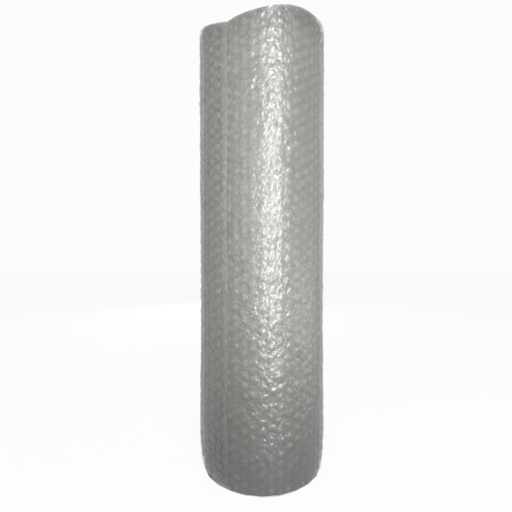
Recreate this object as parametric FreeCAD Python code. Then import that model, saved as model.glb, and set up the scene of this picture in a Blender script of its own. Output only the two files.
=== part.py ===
import FreeCAD, Part
import math
import os

# Roll of bubble film, wound on itself with no core and standing on one end.
# Millimetres, +Z up, the roll's axis on Z, the foot at z = 0 and the front towards -Y.
# The web has its flat film outside and its bubbles inside, so the outer turn is smooth
# but for the low crowns that the bubbles push into it.

# The web and how it is wound
web_width = 500.0              # height of the standing roll
roll_radius = 72.6             # axis to the outer face at the free end, at the waist
void_radius = 11.0             # hollow that the winding arbor leaves
web_thickness = 2.6            # both films and the pressed bubbles
turn_gap = 0.6                 # slack between one turn and the next
free_end_angle = 238.3         # where the outer turn ends, anticlockwise from +X

# The bubbles, close packed in columns up the roll
bubble_pitch = 11.2            # centre to centre of neighbours
bubble_rise = 0.9              # crown of the flat film over a bubble

# The outer turn is loose: it stands off the roll above and below a waist
waist_height = 181.0
waist_spread = 110.0
looseness = 1.3                # how far it stands off, away from the waist
tight_length = 60.0            # stretch where it comes down to the turn below

# The foot: the outer turns are tucked in and their edges ride up
tuck_height = 38.0
tuck_depth = 1.8
edge_lift = 18.0               # edge of the free end above the floor
lifted_turns = 2.3             # turns over which the lift runs out

# The head: the turns have slipped down about the free end
slip_drop = 15.5               # top edge at the free end below the other turns
slip_under_flap = 68.0         # reach of the slip under the outer turn
slip_beyond_flap = 83.0        # reach past the free end
slip_depth = 30.0              # reach into the roll
slip_power = 1.3               # how soon it levels out along the edge

turn_pitch = web_thickness + turn_gap
column_pitch = bubble_pitch * math.sqrt(3) / 2
columns_per_turn = 2 * round(math.pi * (roll_radius - turn_pitch / 2) / column_pitch)
row_count = round(2 * web_width / bubble_pitch)
turn_count = (roll_radius - web_thickness - void_radius) / turn_pitch
inner_step_count = round((turn_count - 1) * columns_per_turn / 2)


def spiral_point(turns, depth, height):
    """Point on the winding, so many turns back from the free end and so deep in the web."""
    angle = math.radians(free_end_angle) - 2 * math.pi * turns
    radius = roll_radius - turn_pitch * turns - depth
    return (radius * math.cos(angle), radius * math.sin(angle), height)


def top_edge(turns):
    """Height of the web's upper edge, lowest at the free end."""
    past_end = turns % 1
    if past_end < 0.5:
        reach = slip_under_flap
    else:
        past_end = 1 - past_end
        reach = slip_beyond_flap
    along = 2 * math.pi * roll_radius * past_end
    near = max(0.0, 1 - along / reach) ** slip_power
    outer = max(0.0, 1 - turn_pitch * turns / slip_depth)
    return web_width - slip_drop * near * outer


def bottom_edge(turns):
    """Height of the web's lower edge, flat on the floor in the inner turns."""
    return edge_lift * max(0.0, 1 - turns / lifted_turns) ** 2


def stand_off(turns, height):
    """How far the outer turn's face stands out from the spiral."""
    loose = looseness * (1 - math.exp(-((height - waist_height) / waist_spread) ** 2))
    tuck = tuck_depth * max(0.0, 1 - height / tuck_height) ** 2
    left = 2 * math.pi * roll_radius * (1 - turns)
    return (loose - tuck) * min(1.0, left / tight_length)


def is_crown(column, row):
    """Bubbles lie on every second crossing of the net, clear of the web's edges."""
    inside = 0 < column < columns_per_turn and 0 < row < row_count
    return inside and (column + row) % 2 == 0


def bubble_station(column):
    """One column of the outer turn: points up its outer face and up its inner face."""
    turns = column / columns_per_turn
    low = bottom_edge(turns)
    high = top_edge(turns)
    outer = []
    for row in range(row_count + 1):
        height = low + (high - low) * row / row_count
        valley = 0.0 if is_crown(column, row) else bubble_rise
        outer.append(spiral_point(turns, valley - stand_off(turns, height), height))
    inner = [spiral_point(turns, web_thickness, height) for height in (low, high)]
    return outer, inner


def plain_station(step):
    """One line across a covered turn, two columns on from the one before."""
    turns = 1 + 2 * step / columns_per_turn
    edges = (bottom_edge(turns), top_edge(turns))
    outer = [spiral_point(turns, 0.0, height) for height in edges]
    inner = [spiral_point(turns, web_thickness, height) for height in edges]
    return outer, inner


def fan(loop):
    """Triangles over a flat loop of points, all from its first point."""
    return [(loop[0], loop[k], loop[k + 1]) for k in range(1, len(loop) - 1)]


def bubble_wall(first, second, column):
    """Facets between two columns, folded along the valleys so each crown is a low peak."""
    facets = []
    for row in range(row_count):
        near_low, near_high = first[row], first[row + 1]
        far_low, far_high = second[row], second[row + 1]
        if (column + row) % 2 == 0:
            facets.append((near_low, near_high, far_low))
            facets.append((near_high, far_high, far_low))
        else:
            facets.append((near_low, near_high, far_high))
            facets.append((near_low, far_high, far_low))
    return facets


def wound_web():
    """The whole web as one closed net of flat facets, made into a solid."""
    stations = [bubble_station(column) for column in range(columns_per_turn + 1)]
    stations += [plain_station(step) for step in range(1, inner_step_count + 1)]

    points = []
    numbered = []
    for outer, inner in stations:
        start = len(points)
        points += outer + inner
        split = start + len(outer)
        numbered.append((list(range(start, split)), list(range(split, len(points)))))

    facets = []
    for index in range(len(numbered) - 1):
        outer, inner = numbered[index]
        next_outer, next_inner = numbered[index + 1]
        if index < columns_per_turn:
            facets += bubble_wall(outer, next_outer, index)
        else:
            facets += fan([next_outer[0]] + outer + [next_outer[-1]])
        facets += fan([inner[0], next_inner[0], next_inner[-1], inner[-1]])
        facets += fan([outer[-1], inner[-1], next_inner[-1], next_outer[-1]])
        facets += fan([outer[0], next_outer[0], next_inner[0], inner[0]])

    outer, inner = numbered[0]
    facets += fan([inner[0], inner[-1]] + outer[::-1])
    outer, inner = numbered[-1]
    facets += fan([inner[0]] + outer + [inner[-1]])

    net = Part.Shape()
    net.makeShapeFromMesh((points, facets), 0.001)
    return Part.Solid(net), len(facets)


film_roll, facet_count = wound_web()
web_length = math.pi * (roll_radius + void_radius) * turn_count
print("columns round the outer turn:", columns_per_turn)
print("turns:", round(turn_count, 2), "web length:", round(web_length))
print("facets:", facet_count, "volume:", round(film_roll.Volume), "valid:", film_roll.isValid())

os.makedirs("parts", exist_ok=True)
film_roll.exportStep("parts/film_roll.step")
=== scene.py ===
import math
import bpy
import numpy as np
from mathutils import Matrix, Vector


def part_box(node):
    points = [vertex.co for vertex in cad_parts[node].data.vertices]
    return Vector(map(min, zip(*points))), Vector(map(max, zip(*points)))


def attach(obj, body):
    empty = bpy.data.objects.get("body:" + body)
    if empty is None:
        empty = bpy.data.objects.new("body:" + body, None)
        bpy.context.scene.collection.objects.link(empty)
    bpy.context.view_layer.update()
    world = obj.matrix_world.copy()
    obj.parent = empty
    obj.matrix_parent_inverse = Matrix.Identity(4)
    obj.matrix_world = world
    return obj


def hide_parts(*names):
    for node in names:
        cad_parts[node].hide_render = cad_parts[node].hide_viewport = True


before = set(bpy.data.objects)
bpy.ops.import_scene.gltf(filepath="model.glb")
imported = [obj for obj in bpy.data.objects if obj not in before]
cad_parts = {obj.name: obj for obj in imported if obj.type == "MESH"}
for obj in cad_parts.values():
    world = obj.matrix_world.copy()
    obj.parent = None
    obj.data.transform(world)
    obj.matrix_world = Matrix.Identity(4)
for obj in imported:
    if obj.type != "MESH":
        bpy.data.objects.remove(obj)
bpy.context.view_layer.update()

nodeLow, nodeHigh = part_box("film_roll")
rollHeight = nodeHigh[2] - nodeLow[2]
mm = 0.001

# The winding, in metres. Turns are counted back from the free end, so 0 is the free end
# and 1 is where the outer turn goes under it.
winding = {
    "radius": 72.6 * mm,             # axis to the outer face at the free end
    "turnPitch": 3.2 * mm,
    "hollowRadius": 11.0 * mm,
    "freeEndAngle": 238.3,           # degrees anticlockwise from +X
    "bubblePitch": 11.2 * mm,
    "columnsPerTurn": 46,
    "looseness": 1.3 * mm,           # outer turn stands off above and below its waist
    "waistHeight": 181 * mm,
    "waistSpread": 110 * mm,
    "tightLength": 60 * mm,
    "tuckDepth": 5.6 * mm,           # outer turns are drawn in at the foot
    "tuckHeight": 97 * mm,
    "tuckedTurns": 2.5,
    "edgeLift": 8.5 * mm,
    "liftedTurns": 1.25,
    "slipDrop": 15.5 * mm,           # top edges slipped down about the free end
    "slipUnderFlap": 68 * mm,
    "slipBeyondFlap": 83 * mm,
    "slipDepth": 30 * mm,
    "slipPower": 1.3,                # how soon the slip levels out along the edge
    "topLean": 1.0 * mm,             # the top end stands this much higher on the right
}
rowPitch = winding["bubblePitch"] / 2
rowCount = round(rollHeight / rowPitch)
columnPitch = winding["bubblePitch"] * math.sqrt(3) / 2
turnLength = 2 * math.pi * winding["radius"]
turnCount = (winding["radius"] - winding["hollowRadius"]) / winding["turnPitch"]


# Smooth noise between -1 and 1: random heights at whole x and y, eased between
# neighbours by t * t * (3 - 2 * t) along each side. Each seed has its own heights.
def smoothNoise(x, y, seed):
    count = 128
    table = np.random.default_rng(seed).uniform(-1, 1, (count, count))
    left, low = np.floor(x).astype(int), np.floor(y).astype(int)
    s, t = x - left, y - low
    s, t = s * s * (3 - 2 * s), t * t * (3 - 2 * t)
    left, right = left % count, (left + 1) % count
    low, high = low % count, (low + 1) % count
    lowEdge = table[left, low] * (1 - s) + table[right, low] * s
    highEdge = table[left, high] * (1 - s) + table[right, high] * s
    return lowEdge * (1 - t) + highEdge * t


# One random number for each bubble, by its column and row, from low to high.
def perBubble(column, row, seed, low=0, high=1):
    table = np.random.default_rng(seed).uniform(0, 1, (97, 113))
    columns, rows = table.shape
    return low + (high - low) * table[column.astype(int) % columns, row.astype(int) % rows]


# Radius of the winding: outer radius less one turn pitch for each turn.
def windRadius(turns):
    return winding["radius"] - winding["turnPitch"] * turns


# Height of the film's upper edge: full height less a slip that fades along the edge both
# ways from the free end as (1 - distance / reach) to slipPower, and fades inwards. The
# right-hand side stands higher by topLean.
def topEdge(turns):
    past = turns % 1
    under = past < 0.5
    along = turnLength * np.where(under, past, 1 - past)
    reach = np.where(under, winding["slipUnderFlap"], winding["slipBeyondFlap"])
    near = np.clip(1 - along / reach, 0, None) ** winding["slipPower"]
    depth = np.clip(1 - winding["turnPitch"] * turns / winding["slipDepth"], 0, None)
    side = np.cos(math.radians(winding["freeEndAngle"]) - 2 * math.pi * turns)
    return rollHeight - winding["slipDrop"] * near * depth + winding["topLean"] * side * depth


# Height of the lower edge: edgeLift * (1 - turns / liftedTurns) squared, then flat.
def bottomEdge(turns):
    return winding["edgeLift"] * np.clip(1 - turns / winding["liftedTurns"], 0, None) ** 2


# How far the film's face stands out from the plain winding: looseness, less a bell-shaped
# waist, in the outer turn, and a tuck at the foot as (1 - height / tuckHeight) to the fourth.
def standOff(turns, height):
    bell = np.exp(-((height - winding["waistHeight"]) / winding["waistSpread"]) ** 2)
    fade = np.clip((1 - turns) * turnLength / winding["tightLength"], 0, 1)
    tuck = np.clip(1 - height / winding["tuckHeight"], 0, None) ** 4
    tucked = np.clip(1 - turns / winding["tuckedTurns"], 0, 1)
    return winding["looseness"] * (1 - bell) * fade - winding["tuckDepth"] * tuck * tucked


# Point on the winding: so many turns back, so high, and so far out from the film's face.
def windPoint(turns, height, out):
    angle = math.radians(winding["freeEndAngle"]) - 2 * math.pi * turns
    radius = windRadius(turns) + standOff(turns, height) + out
    return np.stack([radius * np.cos(angle), radius * np.sin(angle), height], axis=-1)


# Distance to the nearest bubble centre, with that bubble's column and row. The close
# packing is two square sets of centres, both numbers even or both odd.
def nearestBubble(column, row):
    best = None
    for odd in (0, 1):
        nearColumn = 2 * np.round((column - odd) / 2) + odd
        nearRow = 2 * np.round((row - odd) / 2) + odd
        away = np.hypot((column - nearColumn) * columnPitch, (row - nearRow) * rowPitch)
        if best is None:
            best = away, nearColumn, nearRow
        else:
            closer = away < best[0]
            best = tuple(np.where(closer, new, old)
                         for new, old in zip((away, nearColumn, nearRow), best))
    return best


# Metres along and up the web, for patterns that follow it.
def webPlace(column, row):
    return np.stack([column * columnPitch, row * rowPitch, 0 * column], axis=-1)


# A mesh object from an array of points and a list of face arrays, each with its own
# number of corners, and optional named vertex values.
def meshObject(name, points, faceSets, material, values=None):
    mesh = bpy.data.meshes.new(name)
    points = np.ascontiguousarray(points, dtype=np.float32).reshape(-1, 3)
    corners = np.concatenate([faces.reshape(-1) for faces in faceSets]).astype(np.int32)
    sizes = np.concatenate([np.full(len(faces), faces.shape[1]) for faces in faceSets])
    starts = np.concatenate([[0], np.cumsum(sizes)[:-1]]).astype(np.int32)
    mesh.vertices.add(len(points))
    mesh.vertices.foreach_set("co", points.ravel())
    mesh.loops.add(len(corners))
    mesh.loops.foreach_set("vertex_index", corners)
    mesh.polygons.add(len(starts))
    mesh.polygons.foreach_set("loop_start", starts)
    mesh.update(calc_edges=True)
    mesh.validate()
    mesh.polygons.foreach_set("use_smooth", np.full(len(mesh.polygons), True))
    for key, numbers in (values or {}).items():
        numbers = np.ascontiguousarray(numbers, dtype=np.float32)
        isVector = numbers.shape[-1] == 3 and numbers.ndim == 3
        layer = mesh.attributes.new(key, "FLOAT_VECTOR" if isVector else "FLOAT", "POINT")
        layer.data.foreach_set("vector" if isVector else "value", numbers.ravel())
    mesh.materials.append(material)
    made = bpy.data.objects.new(name, mesh)
    bpy.context.scene.collection.objects.link(made)
    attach(made, "root")
    return made


# Four-cornered faces over a grid of points, numbered along its second side; ring joins
# the last line of the first side to the first. flip turns the faces over.
def gridFaces(lines, across, ring=False, flip=False):
    here = np.arange(lines if ring else lines - 1)
    there = (here + 1) % lines
    step = np.arange(across - 1)
    a = here[:, None] * across + step
    b = there[:, None] * across + step
    quads = np.stack([a, a + 1, b + 1, b], axis=-1).reshape(-1, 4)
    return quads[:, ::-1] if flip else quads


# Materials

# A node material: its tree, its Principled shader and a maker of linked nodes.
def newMaterial(name):
    material = bpy.data.materials.new(name)
    material.use_nodes = True
    tree = material.node_tree
    shader = tree.nodes["Principled BSDF"]

    def add(kind, inputs=None, **settings):
        node = tree.nodes.new(kind)
        for key, value in settings.items():
            setattr(node, key, value)
        for key, value in (inputs or {}).items():
            if isinstance(value, bpy.types.NodeSocket):
                tree.links.new(value, node.inputs[key])
            else:
                node.inputs[key].default_value = value
        return node

    return material, tree, shader, add


# Maths and vector maths nodes in one word each.
def maths(add, operation, *inputs):
    node = add("ShaderNodeMath", dict(enumerate(inputs)), operation=operation)
    return node.outputs[0]


def vectorMaths(add, operation, *inputs):
    node = add("ShaderNodeVectorMath", dict(enumerate(inputs)), operation=operation)
    return node.outputs["Value" if operation == "LENGTH" else "Vector"]


# Distance to the nearest bubble centre, from metres along and up the web: the point is
# wrapped into one cell of each of the two square sets of centres, and the nearer counts.
def bubbleDistance(add, place):
    cell = (2 * columnPitch, 2 * rowPitch, 1)
    away = []
    for shift in ((0, 0, 0), (columnPitch, rowPitch, 0)):
        moved = vectorMaths(add, "SUBTRACT", place, shift)
        wrapped = vectorMaths(add, "WRAP", moved, [side / 2 for side in cell], [-side / 2 for side in cell])
        away.append(vectorMaths(add, "LENGTH", wrapped))
    return maths(add, "MINIMUM", *away)


# Folds that run at a slope up the web: a smooth noise, stretched along that slope.
def slopedFolds(add, place, slope):
    turned = add("ShaderNodeMapping", {"Vector": place, "Rotation": (0, 0, math.radians(slope)),
                                       "Scale": (1, clearFilm["foldStretch"], 1)})
    noise = add("ShaderNodeTexNoise", {"Vector": turned.outputs["Vector"],
                                       "Scale": 1 / clearFilm["foldSize"], "Detail": 0.0})
    return noise.outputs["Fac"]


# Painted shade: the colour written down is made darker towards the foot, by footShade at the
# floor, easing to none at the height given next, and darker towards the top, by headShade at
# the top, easing to none at headHeight.
paintedShade = {
    "footShade": 0.32,
    "footShadeHeight": 220 * mm,
    "headShade": 0.55,
    "headHeight": 462 * mm,
}


# Multiplies a colour by the painted shade at the foot and the top, and links it to the base colour.
def withPaintedShade(tree, add, shader, colour):
    place = add("ShaderNodeTexCoord").outputs["Object"]
    height = add("ShaderNodeSeparateXYZ", {"Vector": place}).outputs["Z"]
    footShading = add("ShaderNodeMapRange", {"Value": height, "From Max": paintedShade["footShadeHeight"],
                                       "To Min": paintedShade["footShade"], "To Max": 1.0},
                interpolation_type="SMOOTHSTEP")
    head = add("ShaderNodeMapRange", {"Value": height, "From Min": paintedShade["headHeight"], "From Max": rollHeight,
                                      "To Min": 1.0, "To Max": paintedShade["headShade"]},
               interpolation_type="SMOOTHSTEP")
    level = maths(add, "MULTIPLY", footShading.outputs["Result"], head.outputs["Result"])
    shaded = add("ShaderNodeVectorMath", {0: colour, "Scale": level}, operation="SCALE")
    tree.links.new(shaded.outputs["Vector"], shader.inputs["Base Color"])


clearFilm = {
    "edgeOpacity": 0.85,          # the edges at both ends are seen end on
    "colour": (0.170, 0.171, 0.146),
    "opacity": 0.50,
    "roughness": (0.42, 0.52),    # where the film is taut and where it is rubbed
    "rubbedPatches": 90.0,        # noise scale of the rubbed patches
    "ior": 1.9,
    "paintedSpotHighlight": 1.5,             # painted highlight: how much lighter the film is over the middle of a bubble
    "spotRadius": 3.0 * mm,
    "spotPatches": 160.0,         # noise scale of the patches where spots show
    "spotLimits": (0.38, 0.68),   # noise at which they start to show and show in full
    "driftScale": 120.0,          # the bubbles' pattern wanders by this noise
    "driftReach": 6 * mm,
    "sealRadius": 4.7 * mm,       # raised ring where the bubble is sealed to the film
    "sealWidth": 1.1 * mm,
    "sealHeight": 0.06 * mm,
    "sealGaps": 130.0,            # noise scale of the gaps in the ring
    "dotRadius": 2.8 * mm,        # small high spot in the middle of each bubble
    "dotHeight": 0.09 * mm,
    "foldSlope": 38,              # degrees, one set of folds each way
    "foldStretch": 0.7,           # folds are longer than they are wide
    "foldSize": 2.7 * mm,
    "foldHeight": 0.34 * mm,
    "fineSize": 2.8 * mm,
    "fineHeight": 0.22 * mm,
    "gloss": 1.0,                 # the thin clear gloss over it, with sharper relief
    "glossRoughness": 0.21,
    "glossIor": 1.8,
    "glossRelief": 1.7,
    "endWidth": 6 * mm,           # painted shade: the strip along the free end is darker
    "endShade": 0.86,
    "cutWidth": 1.0 * mm,         # and a painted highlight makes its cut edge lighter
    "cutLight": 1.35,
}


# Clear polythene: pale, partly see-through and glossy. As bump it has a raised ring, broken
# by gaps, and a high spot on each bubble, and two sets of slanting folds with fine ones over
# them. The same relief, stronger, is under the thin gloss on top, for small glints.
def makeClearFilm(name, opacity):
    values = clearFilm
    material, tree, shader, add = newMaterial(name)
    web = add("ShaderNodeAttribute", attribute_name="web").outputs["Vector"]
    drift = add("ShaderNodeTexNoise", {"Vector": web, "Scale": values["driftScale"], "Detail": 1.0})
    drift = vectorMaths(add, "SUBTRACT", drift.outputs["Color"], (0.5, 0.5, 0.5))
    place = vectorMaths(add, "MULTIPLY_ADD", drift, (values["driftReach"], values["driftReach"], 0), web)
    away = bubbleDistance(add, place)
    fromRing = maths(add, "ABSOLUTE", maths(add, "SUBTRACT", away, values["sealRadius"]))
    ring = add("ShaderNodeMapRange", {"Value": fromRing, "From Max": values["sealWidth"],
                                      "To Min": 1.0, "To Max": 0.0}, interpolation_type="SMOOTHSTEP")
    gaps = add("ShaderNodeTexNoise", {"Vector": web, "Scale": values["sealGaps"], "Detail": 1.0}).outputs["Fac"]
    ringPart = maths(add, "MULTIPLY", ring.outputs["Result"],
                     maths(add, "MULTIPLY", gaps, 2 * values["sealHeight"]))
    dot = add("ShaderNodeMapRange", {"Value": away, "From Max": values["dotRadius"],
                                     "To Min": values["dotHeight"], "To Max": 0.0},
              interpolation_type="SMOOTHSTEP").outputs["Result"]
    left = slopedFolds(add, web, values["foldSlope"])
    right = slopedFolds(add, web, -values["foldSlope"])
    crossing = maths(add, "MULTIPLY", maths(add, "ADD", left, right), values["foldHeight"])
    fine = add("ShaderNodeTexNoise", {"Vector": web, "Scale": 1 / values["fineSize"], "Detail": 2.0})
    finePart = maths(add, "MULTIPLY", fine.outputs["Fac"], values["fineHeight"])
    height = maths(add, "ADD", maths(add, "ADD", ringPart, crossing), maths(add, "ADD", finePart, dot))
    for socket, relief in (("Normal", 1.0), ("Coat Normal", values["glossRelief"])):
        bump = add("ShaderNodeBump", {"Height": height, "Distance": relief, "Strength": 1.0})
        tree.links.new(bump.outputs["Normal"], shader.inputs[socket])
    rubbed = add("ShaderNodeTexNoise", {"Vector": web, "Scale": values["rubbedPatches"], "Detail": 3.0})
    taut, dull = values["roughness"]
    rough = add("ShaderNodeMapRange", {"Value": rubbed.outputs["Fac"], "From Min": 0.35, "From Max": 0.65,
                                       "To Min": taut, "To Max": dull})
    tree.links.new(rough.outputs["Result"], shader.inputs["Roughness"])

    # Painted highlight: in patches, the film is lighter over the middle of each bubble, where light would catch
    # in its dome.
    spot = add("ShaderNodeMapRange", {"Value": away, "From Max": values["spotRadius"],
                                      "To Min": 1.0, "To Max": 0.0}, interpolation_type="SMOOTHSTEP")
    patchy = add("ShaderNodeTexNoise", {"Vector": web, "Scale": values["spotPatches"], "Detail": 2.0})
    least, most = values["spotLimits"]
    chosen = add("ShaderNodeMapRange", {"Value": patchy.outputs["Fac"], "From Min": least, "From Max": most,
                                        "To Min": 0.0, "To Max": values["paintedSpotHighlight"]}).outputs["Result"]
    spotHighlight = maths(add, "MULTIPLY", spot.outputs["Result"], chosen)
    # Painted shade along the free end of the film, with a painted highlight on its cut edge.
    along = add("ShaderNodeSeparateXYZ", {"Vector": web}).outputs["X"]
    paintedEndShade = add("ShaderNodeMapRange", {"Value": along, "From Max": values["endWidth"],
                                       "To Min": values["endShade"], "To Max": 1.0},
                interpolation_type="SMOOTHSTEP").outputs["Result"]
    paintedCutHighlight = add("ShaderNodeMapRange", {"Value": along, "From Max": values["cutWidth"],
                                     "To Min": values["cutLight"], "To Max": 1.0}).outputs["Result"]
    level = maths(add, "MULTIPLY", maths(add, "ADD", spotHighlight, 1.0), maths(add, "MULTIPLY", paintedEndShade, paintedCutHighlight))
    colour = add("ShaderNodeVectorMath", {0: values["colour"], "Scale": level}, operation="SCALE")
    withPaintedShade(tree, add, shader, colour.outputs["Vector"])
    shader.inputs["Alpha"].default_value = opacity
    shader.inputs["IOR"].default_value = values["ior"]
    shader.inputs["Specular IOR Level"].default_value = 1.0
    shader.inputs["Coat Weight"].default_value = values["gloss"]
    shader.inputs["Coat Roughness"].default_value = values["glossRoughness"]
    shader.inputs["Coat IOR"].default_value = values["glossIor"]
    return material


bubbleFilm = {
    "colour": (0.30, 0.30, 0.285),
    "opacity": 0.30,
    "roughness": 0.2,
    "puckerScale": 320.0,
    "puckerHeight": 0.4 * mm,
}


# The softer film of the bubbles, with a fine pucker.
def makeBubbleFilm():
    material, tree, shader, add = newMaterial("bubble_film")
    place = add("ShaderNodeTexCoord").outputs["Object"]
    pucker = add("ShaderNodeTexNoise", {"Vector": place, "Scale": bubbleFilm["puckerScale"], "Detail": 2.0})
    bump = add("ShaderNodeBump", {"Height": pucker.outputs["Fac"], "Distance": bubbleFilm["puckerHeight"],
                                  "Strength": 1.0})
    tree.links.new(bump.outputs["Normal"], shader.inputs["Normal"])
    withPaintedShade(tree, add, shader, bubbleFilm["colour"])
    shader.inputs["Alpha"].default_value = bubbleFilm["opacity"]
    shader.inputs["Roughness"].default_value = bubbleFilm["roughness"]
    return material


packedFilm = {
    "dark": (0.04, 0.04, 0.038, 1),
    "light": (0.50, 0.50, 0.48, 1),
    "mottleScale": 90.0,
    "spotSharpness": 2.5,
    "paintedSpotHighlight": 0.6,
    "limits": (0.2, 1.3),         # mottle and spots together at which it is dark and light
    "creaseScale": 400.0,
    "creaseHeight": 0.25 * mm,
    "roughness": 0.5,
}


# Many layers seen as one: grey, mottled, with a painted highlight that makes it lighter over each bubble.
def makePackedFilm():
    material, tree, shader, add = newMaterial("packed_film")
    place = add("ShaderNodeTexCoord")
    mottle = add("ShaderNodeTexNoise", {"Vector": place.outputs["Object"], "Scale": packedFilm["mottleScale"],
                                        "Detail": 5.0, "Roughness": 0.65})
    # Painted highlight: lighter over the middle of each bubble, by its crown.
    crown = add("ShaderNodeAttribute", attribute_name="crown")
    spot = maths(add, "POWER", crown.outputs["Fac"], packedFilm["spotSharpness"])
    mix = maths(add, "MULTIPLY_ADD", spot, packedFilm["paintedSpotHighlight"], mottle.outputs["Fac"])
    least, most = packedFilm["limits"]
    ramp = add("ShaderNodeMapRange", {"Value": mix, "From Min": least, "From Max": most})
    colour = add("ShaderNodeMix", data_type="RGBA")
    tree.links.new(ramp.outputs["Result"], colour.inputs["Factor"])
    colour.inputs["A"].default_value = packedFilm["dark"]
    colour.inputs["B"].default_value = packedFilm["light"]
    withPaintedShade(tree, add, shader, colour.outputs["Result"])
    creases = add("ShaderNodeTexNoise", {"Vector": place.outputs["Object"],
                                         "Scale": packedFilm["creaseScale"], "Detail": 3.0})
    bump = add("ShaderNodeBump", {"Height": creases.outputs["Fac"], "Distance": packedFilm["creaseHeight"],
                                  "Strength": 1.0})
    tree.links.new(bump.outputs["Normal"], shader.inputs["Normal"])
    shader.inputs["Roughness"].default_value = packedFilm["roughness"]
    return material


clearFilmMaterial = makeClearFilm("clear_film", clearFilm["opacity"])
edgeFilmMaterial = makeClearFilm("edge_film", clearFilm["edgeOpacity"])
bubbleFilmMaterial = makeBubbleFilm()
packedFilmMaterial = makePackedFilm()
print("materials ready")


# Pieces

outerFilm = {
    "turns": 1.06,                # how far it is made, the last stretch under its own free end
    "pointsPerColumn": 7,
    "pointsPerRow": 3,
    "crownRise": 0.36 * mm,
    "crownRadius": 5.4 * mm,
    "crownTilt": 0.15,            # steepest lean of a crown, as a slope
    "crownShift": 1.2 * mm,       # farthest that a crown lies from its place in the packing
    "crownFullness": (0.55, 1.25),
    "crownLevel": 0.4,            # share of a crown that lies inside the plain winding
    "dent": 0.40 * mm,
    "dentSize": (1.9, 3.1),       # in columns and rows
    "dentSlant": (0.35, 0.8),     # columns aside for each row up, and rows down for each column
    "endDrop": 3.1 * mm,          # the cut bubbles of the free end are flat
    "endReach": 13 * mm,
    "seamCalm": 8 * mm,           # and the film lies smooth this far about the end
    "endWave": 0.8 * mm,          # its cut edge wanders so far along the film
    "endWaveRows": 7,
    "endWaveReach": 0.05,         # in turns
    "edgeWave": 0.7 * mm,         # the upper and lower edges wander so far
    "edgeWaveColumns": 1.3,
}


# How far the film comes in towards the free end: by endDrop and the slack that the outer
# turn has over the turn below it at that height, dying away along the film.
def endCurl(turns, height):
    slack = standOff(0, height) - standOff(1, height)
    return (outerFilm["endDrop"] + slack) * np.exp(-turns * turnLength / outerFilm["endReach"])


# The smooth outer film. Out from the winding it has a crown of
# crownRise * (1 - (distance / crownRadius) squared) over each bubble, a little off its place
# and leaning its own way, broad slanting dents, and a curl that dies away from the free end,
# where it is smoother.
def makeOuterFilm():
    values = outerFilm
    alongCount = int(values["turns"] * winding["columnsPerTurn"] * values["pointsPerColumn"]) + 1
    upCount = int(rowCount * values["pointsPerRow"]) + 1
    turns = np.linspace(0, values["turns"], alongCount)[:, None] + np.zeros(upCount)
    up = np.linspace(0, 1, upCount) + np.zeros((alongCount, 1))
    column, row = turns * winding["columnsPerTurn"], up * rowCount
    _, nearColumn, nearRow = nearestBubble(column, row)
    aside = (column - nearColumn) * columnPitch
    above = (row - nearRow) * rowPitch
    shift = values["crownShift"]
    away = np.hypot(aside - perBubble(nearColumn, nearRow, 14, -shift, shift),
                    above - perBubble(nearColumn, nearRow, 15, -shift, shift))
    crown = np.clip(1 - (away / values["crownRadius"]) ** 2, 0, None)
    fullness = perBubble(nearColumn, nearRow, 11, *values["crownFullness"])
    tilt = values["crownTilt"]
    lean = (aside * perBubble(nearColumn, nearRow, 12, -tilt, tilt)
            + above * perBubble(nearColumn, nearRow, 13, -tilt, tilt)) * crown
    wide, tall = values["dentSize"]
    sideways, down = values["dentSlant"]
    dents = values["dent"] * smoothNoise((column + sideways * row) / wide, (row - down * column) / tall, 3)
    relief = values["crownRise"] * (fullness * crown - values["crownLevel"]) + dents + lean

    endWave = values["endWave"] * smoothNoise(row / values["endWaveRows"], 0 * row, 9)
    turns = turns + endWave / turnLength * np.clip(1 - turns / values["endWaveReach"], 0, 1)
    calm = np.clip(np.abs(turns - np.round(turns)) * turnLength / values["seamCalm"], 0.1, 1)
    along = column / values["edgeWaveColumns"]
    low = np.clip(bottomEdge(turns) + values["edgeWave"] * smoothNoise(along, 0 * row, 7), 0, None)
    high = topEdge(turns) + values["edgeWave"] * smoothNoise(along, 0 * row, 8)
    height = low + (high - low) * up
    out = relief * calm - endCurl(turns, height)
    return meshObject("outer_film", windPoint(turns, height, out), [gridFaces(alongCount, upCount)],
                      clearFilmMaterial, {"web": webPlace(column, row)})


outerFilmPiece = makeOuterFilm()
print("outer film:", len(outerFilmPiece.data.polygons), "faces")


bubbles = {
    "radius": 4.9 * mm,
    "depth": 2.2 * mm,
    "endDepth": 2.3 * mm,         # of the bubbles that show at both ends of the roll
    "endRows": 3,
    "sides": 10,
    "sizes": (0.93, 1.03),
    "depths": (0.75, 1.15),
    "lean": 0.45 * mm,            # farthest that a cup's bottom lies to a side
    "rings": ((1.0, 0.0), (0.97, 0.55), (0.72, 0.95), (0.0, 1.0)),    # radius and depth
}


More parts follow.
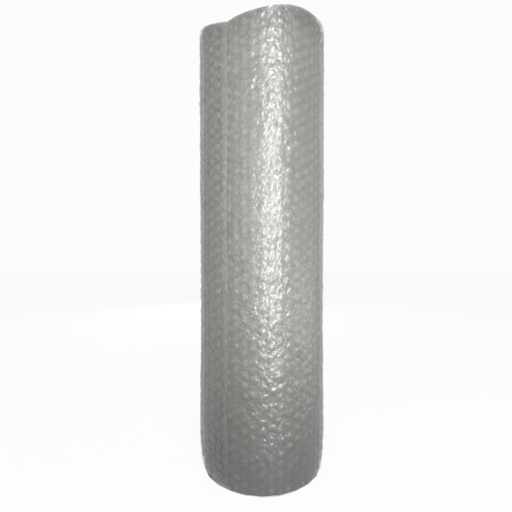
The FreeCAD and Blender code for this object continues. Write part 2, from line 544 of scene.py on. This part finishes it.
# Cups of one or more turns, pointing to the axis: rings whose radius and depth follow a
# flattened dome, each cup squashed and leaned a little by its own random numbers.
def makeCups(name, firstTurn, lastTurn, lowRow, highRow, seed, depth, material):
    columns = np.arange(math.ceil(firstTurn * winding["columnsPerTurn"]),
                        math.floor(lastTurn * winding["columnsPerTurn"]) + 1)
    rows = np.arange(lowRow, highRow + 1)
    column, row = [part.ravel() for part in np.meshgrid(columns, rows, indexing="ij")]
    keep = (column + row) % 2 == 0
    column, row = column[keep].astype(float), row[keep].astype(float)
    sides = bubbles["sides"]
    ringSize, ringDepth = np.array(bubbles["rings"]).T
    around = np.arange(sides) * 2 * math.pi / sides
    size = bubbles["radius"] * perBubble(column, row, seed, *bubbles["sizes"])
    deep = depth * perBubble(column, row, seed + 1, *bubbles["depths"])
    lean = perBubble(column, row, seed + 2, -bubbles["lean"], bubbles["lean"])
    rise = perBubble(column, row, seed + 3, -bubbles["lean"], bubbles["lean"])
    ringAt = np.concatenate([np.repeat(np.arange(3), sides), [3]])
    angle = np.concatenate([around, around, around, [0.0]])
    across = size[:, None] * ringSize[ringAt] * np.cos(angle) + lean[:, None] * ringDepth[ringAt]
    upward = size[:, None] * ringSize[ringAt] * np.sin(angle) + rise[:, None] * ringDepth[ringAt]
    inward = deep[:, None] * ringDepth[ringAt]
    turns = (column / winding["columnsPerTurn"])[:, None] + across / turnLength
    lowEdge, highEdge = bottomEdge(turns), topEdge(turns)
    height = lowEdge + (highEdge - lowEdge) * (row[:, None] / rowCount) + upward
    points = windPoint(turns, height, -inward - outerFilm["crownRise"])
    count = 3 * sides + 1
    spot = np.arange(sides)
    nextSpot = (spot + 1) % sides
    band = np.stack([spot, nextSpot, nextSpot + sides, spot + sides], axis=-1)
    quads = np.concatenate([band, band + sides])
    cap = np.stack([spot + 2 * sides, nextSpot + 2 * sides, np.full(sides, 3 * sides)], axis=-1)
    start = np.arange(len(column))[:, None, None] * count
    faceSets = [(quads + start).reshape(-1, 4), (cap + start).reshape(-1, 3)]
    return meshObject(name, points, faceSets, material)


outerCups = makeCups("outer_bubbles", 0.2 / winding["columnsPerTurn"], 0.985, 1, rowCount - 1, 21,
                     bubbles["depth"], bubbleFilmMaterial)
print("outer bubbles:", len(outerCups.data.polygons), "faces")


coveredTurns = {
    "pointsPerColumn": 6,
    "wallPoints": 250,
    "endPoints": 26,
    "crownRise": 0.7 * mm,
    "crownRadius": 5.2 * mm,
    "crownFullness": (0.5, 1.3),
    "dent": 0.4 * mm,
    "dentSize": (2, 4),           # in columns and rows
    "rimDepth": 0.6 * mm,         # its wall ends this far short of the film edges
    "endDepth": 2.5 * mm,         # and further in, its ends lie this far below them
    "topFlare": 2.2 * mm,         # the wall comes out near both ends, where there are no bubbles
    "footFlare": 1.2 * mm,
    "flareHeight": 8 * mm,
    "closing": (1.01, 1.07),      # turns over which its start comes out from under its end
}


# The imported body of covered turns: a closed skin round the second turn's face, across both
# ends below the film edges and through the hollow. Its wall has the second turn's crowns.
def makeCoveredTurns():
    values = coveredTurns
    around = winding["columnsPerTurn"] * values["pointsPerColumn"]
    turns = 1 + np.arange(around) / around
    first, last = values["closing"]
    closing = np.clip((last - turns) / (last - first), 0, 1)
    wallUp = np.linspace(0, 1, values["wallPoints"])
    low = bottomEdge(turns) + values["rimDepth"]
    high = topEdge(turns) - values["rimDepth"]
    height = low[:, None] + (high - low)[:, None] * wallUp
    turnGrid = turns[:, None] + 0 * height
    column = turnGrid * winding["columnsPerTurn"]
    row = height / rollHeight * rowCount
    away, nearColumn, nearRow = nearestBubble(column, row)
    crown = np.clip(1 - (away / values["crownRadius"]) ** 2, 0, None)
    crown = crown * perBubble(nearColumn, nearRow, 31, *values["crownFullness"])
    wide, tall = values["dentSize"]
    out = values["crownRise"] * crown + values["dent"] * smoothNoise(column / wide, row / tall, 32)
    nearTop = np.clip(1 - (high[:, None] - height) / values["flareHeight"], 0, 1) ** 0.5
    nearFoot = np.clip(1 - (height - low[:, None]) / values["flareHeight"], 0, 1) ** 0.5
    flare = values["topFlare"] * nearTop + values["footFlare"] * nearFoot
    out = out - values["crownRise"] + flare - winding["turnPitch"] * closing[:, None]
    wall = windPoint(turnGrid, height, out)

    inward = np.linspace(0, 1, values["endPoints"])[1:]
    angle = (math.radians(winding["freeEndAngle"]) - 2 * math.pi * turns)[:, None]
    rim = np.hypot(wall[:, :, 0], wall[:, :, 1])
    endRadius = rim[:, -1:] + (winding["hollowRadius"] - rim[:, -1:]) * inward
    deeper = (winding["radius"] - endRadius) / winding["turnPitch"]
    slip = rollHeight - topEdge(turns)
    ratio = np.clip(1 - winding["turnPitch"] * deeper / winding["slipDepth"], 0, None)
    atRim = np.clip(1 - winding["turnPitch"] * turns / winding["slipDepth"], 0.01, None)
    sink = values["rimDepth"] + (values["endDepth"] - values["rimDepth"]) * np.clip(inward * 8, 0, 1)
    topHeight = rollHeight - sink - slip[:, None] * ratio / atRim[:, None]
    baseRadius = rim[:, :1] + (winding["hollowRadius"] - rim[:, :1]) * inward
    baseHeight = sink + 0 * baseRadius
    top = np.stack([endRadius * np.cos(angle), endRadius * np.sin(angle), topHeight], axis=-1)
    base = np.stack([baseRadius * np.cos(angle), baseRadius * np.sin(angle), baseHeight], axis=-1)
    skin = np.concatenate([base[:, ::-1], wall, top], axis=1)
    across = skin.shape[1]
    faces = gridFaces(around, across, ring=True)
    inner = np.arange(around) * across
    nextInner = (np.arange(around) + 1) % around * across
    hollow = np.stack([inner, nextInner, nextInner + across - 1, inner + across - 1], axis=-1)
    plain = np.zeros((around, len(inward)))
    crowns = np.concatenate([plain, crown, plain], axis=1)
    return meshObject("covered_turns", skin, [faces, hollow], packedFilmMaterial, {"crown": crowns})


coveredPiece = makeCoveredTurns()
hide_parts("film_roll")
print("covered turns:", len(coveredPiece.data.polygons), "faces")


filmEdges = {
    "thickness": 0.35 * mm,
    "stepsPerTurn": 92,
    "overlap": 2 * mm,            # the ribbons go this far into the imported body
    "ragged": 0.8 * mm,           # the top edges are uneven by this
    "raggedPerTurn": 20,
    "wave": 0.35 * mm,            # and wander in and out by this
    "wavesPerTurn": 31,
    "behindOuter": 0.9 * mm,      # the outer turn's ribbon lies so far inside the outer film
    "outerDepth": 2.4 * mm,       # and reaches so far down
    "behindOthers": 0.3 * mm,
}


# Film edges at an end: the flat film of each turn as a thin upright ribbon, with its inner
# and outer face half its thickness each side of the winding. The outer turn has one at the
# top only, because the outer film itself is the edge at the foot.
def makeFilmEdges(name, atTop, seed):
    firstTurn = 0 if atTop else 1
    steps = int((turnCount - firstTurn) * filmEdges["stepsPerTurn"])
    turns = firstTurn + np.arange(steps) / filmEdges["stepsPerTurn"]
    depth = np.where(turns < 1, filmEdges["outerDepth"], coveredTurns["endDepth"] + filmEdges["overlap"])
    uneven = smoothNoise(turns * filmEdges["raggedPerTurn"], 0 * turns, seed)
    ragged = filmEdges["ragged"] * (uneven - 1) / 2
    if atTop:
        edge = topEdge(turns) + ragged
        inside = topEdge(turns) - depth
    else:
        edge = bottomEdge(turns)
        inside = bottomEdge(turns) + depth
    half = filmEdges["thickness"] / 2
    wave = filmEdges["wave"] * smoothNoise(turns * filmEdges["wavesPerTurn"], 0 * turns, seed + 1)
    behind = np.where(turns < 1.03, filmEdges["behindOuter"] + endCurl(turns, edge),
                      filmEdges["behindOthers"])
    line = [(inside, -half), (edge, wave - half), (edge, wave + half), (inside, half)]
    points = np.stack([windPoint(turns, height, out - behind) for height, out in line], axis=1)
    faces = gridFaces(steps, 4, flip=atTop)
    ends = [np.array([[0, 1, 2, 3]]), np.array([[3, 2, 1, 0]]) + 4 * (steps - 1)]
    column = turns[:, None] * winding["columnsPerTurn"] + np.zeros(4)
    row = points[:, :, 2] / rowPitch
    return meshObject(name, points, [faces] + ends, edgeFilmMaterial, {"web": webPlace(column, row)})


topEdges = makeFilmEdges("top_film_edges", True, 41)
bottomEdges = makeFilmEdges("bottom_film_edges", False, 43)
topCups = makeCups("top_bubbles", 1.02, turnCount - 0.6, rowCount - bubbles["endRows"], rowCount - 1, 51,
                   bubbles["endDepth"], bubbleFilmMaterial)
bottomCups = makeCups("bottom_bubbles", 1.02, turnCount - 0.6, 1, bubbles["endRows"], 61,
                      bubbles["endDepth"], bubbleFilmMaterial)
print("film edges and end bubbles ready")


# Stage

studio = {
    "floorColour": (0.2, 0.2, 0.2, 1),
    "whiteShare": 0.92,
    "backdropWhite": 0.97,
    "surroundings": 0.36,
}

# Soft boxes: bearing in degrees to the viewer's right of the front, distance from the axis,
# height, width and height of the box, watts, and the height on the axis that it faces.
softBoxes = {
    "key": (16, 0.72, 0.43, (0.14, 0.84), 5.8, 0.43),
    "low": (75, 0.6, 0.08, (0.5, 0.2), 0.6, 0.08),
    "halo": (-4, 0.9, 0.36, (1.5, 0.8), 3.4, 0.30),
    "fill": (-46, 1.6, 0.7, (1.2, 1.2), 2.6, 0.3),
    "side": (85, 1.5, 0.4, (1.6, 0.8), 1.4, 0.15),
    "back": (190, 1.3, 0.5, (0.4, 1.0), 7.0, 0.30),
}


# White for what sees the background directly, in gloss or through film, and plain grey
# for the light that falls on things.
def whiteShareNode(tree):
    path = tree.nodes.new("ShaderNodeLightPath")
    total = path.outputs["Is Camera Ray"]
    for extra in ("Is Glossy Ray", "Is Transmission Ray"):
        either = tree.nodes.new("ShaderNodeMath")
        either.operation = "MAXIMUM"
        tree.links.new(total, either.inputs[0])
        tree.links.new(path.outputs[extra], either.inputs[1])
        total = either.outputs[0]
    return total


def makeStage():
    floorMaterial = bpy.data.materials.new("pale_floor")
    floorMaterial.use_nodes = True
    tree = floorMaterial.node_tree
    shader = tree.nodes["Principled BSDF"]
    seen = whiteShareNode(tree)
    colour = tree.nodes.new("ShaderNodeMix")
    colour.data_type = "RGBA"
    tree.links.new(seen, colour.inputs["Factor"])
    colour.inputs["A"].default_value = studio["floorColour"]
    colour.inputs["B"].default_value = (0.95, 0.95, 0.95, 1)
    tree.links.new(colour.outputs["Result"], shader.inputs["Base Color"])
    shader.inputs["Roughness"].default_value = 0.8
    shader.inputs["Specular IOR Level"].default_value = 0.0
    white = tree.nodes.new("ShaderNodeEmission")
    mix = tree.nodes.new("ShaderNodeMixShader")
    share = tree.nodes.new("ShaderNodeMath")
    share.operation = "MULTIPLY"
    tree.links.new(seen, share.inputs[0])
    share.inputs[1].default_value = studio["whiteShare"]
    tree.links.new(share.outputs[0], mix.inputs[0])
    tree.links.new(shader.outputs[0], mix.inputs[1])
    tree.links.new(white.outputs[0], mix.inputs[2])
    tree.links.new(mix.outputs[0], tree.nodes["Material Output"].inputs["Surface"])
    mesh = bpy.data.meshes.new("floor")
    mesh.from_pydata([(-4, -4, 0), (4, -4, 0), (4, 4, 0), (-4, 4, 0)], [], [(0, 1, 2, 3)])
    mesh.materials.append(floorMaterial)
    floor = bpy.data.objects.new("floor", mesh)
    bpy.context.scene.collection.objects.link(floor)

    world = bpy.data.worlds.new("surroundings")
    bpy.context.scene.world = world
    world.use_nodes = True
    tree = world.node_tree
    background = tree.nodes["Background"]
    background.inputs["Color"].default_value = (1, 1, 1, 1)
    level = tree.nodes.new("ShaderNodeMapRange")
    tree.links.new(whiteShareNode(tree), level.inputs["Value"])
    level.inputs["To Min"].default_value = studio["surroundings"]
    level.inputs["To Max"].default_value = studio["backdropWhite"]
    tree.links.new(level.outputs["Result"], background.inputs["Strength"])


# A soft box that faces a point on the roll's axis.
def softBox(name, bearing, distance, height, size, power, aimHeight):
    light = bpy.data.lights.new(name, "AREA")
    light.shape = "RECTANGLE"
    light.size, light.size_y = size
    light.energy = power
    lamp = bpy.data.objects.new(name, light)
    turn = math.radians(bearing)
    lamp.location = (distance * math.sin(turn), -distance * math.cos(turn), height)
    aim = Vector((0, 0, aimHeight)) - lamp.location
    lamp.rotation_euler = aim.to_track_quat("-Z", "Y").to_euler()
    bpy.context.scene.collection.objects.link(lamp)
    lamp.visible_camera = False


makeStage()
for boxName, setting in softBoxes.items():
    softBox(boxName, *setting)


# Camera: level, at mid height and close, so that both rims curve away from the middle.
view = {
    "distance": 0.456,
    "height": 0.250,
    "lens": 27.07,
    "shift": (-0.0129, -0.0117),
}
cameraData = bpy.data.cameras.new("camera")
cameraData.lens = view["lens"]
cameraData.sensor_width = 36
cameraData.shift_x, cameraData.shift_y = view["shift"]
cameraData.clip_start = 0.01
camera = bpy.data.objects.new("camera", cameraData)
camera.location = (0, -view["distance"], view["height"])
camera.rotation_euler = (math.radians(90), 0, 0)
bpy.context.scene.collection.objects.link(camera)
bpy.context.scene.camera = camera
bpy.context.scene.view_settings.view_transform = "Standard"
print("stage and camera ready")
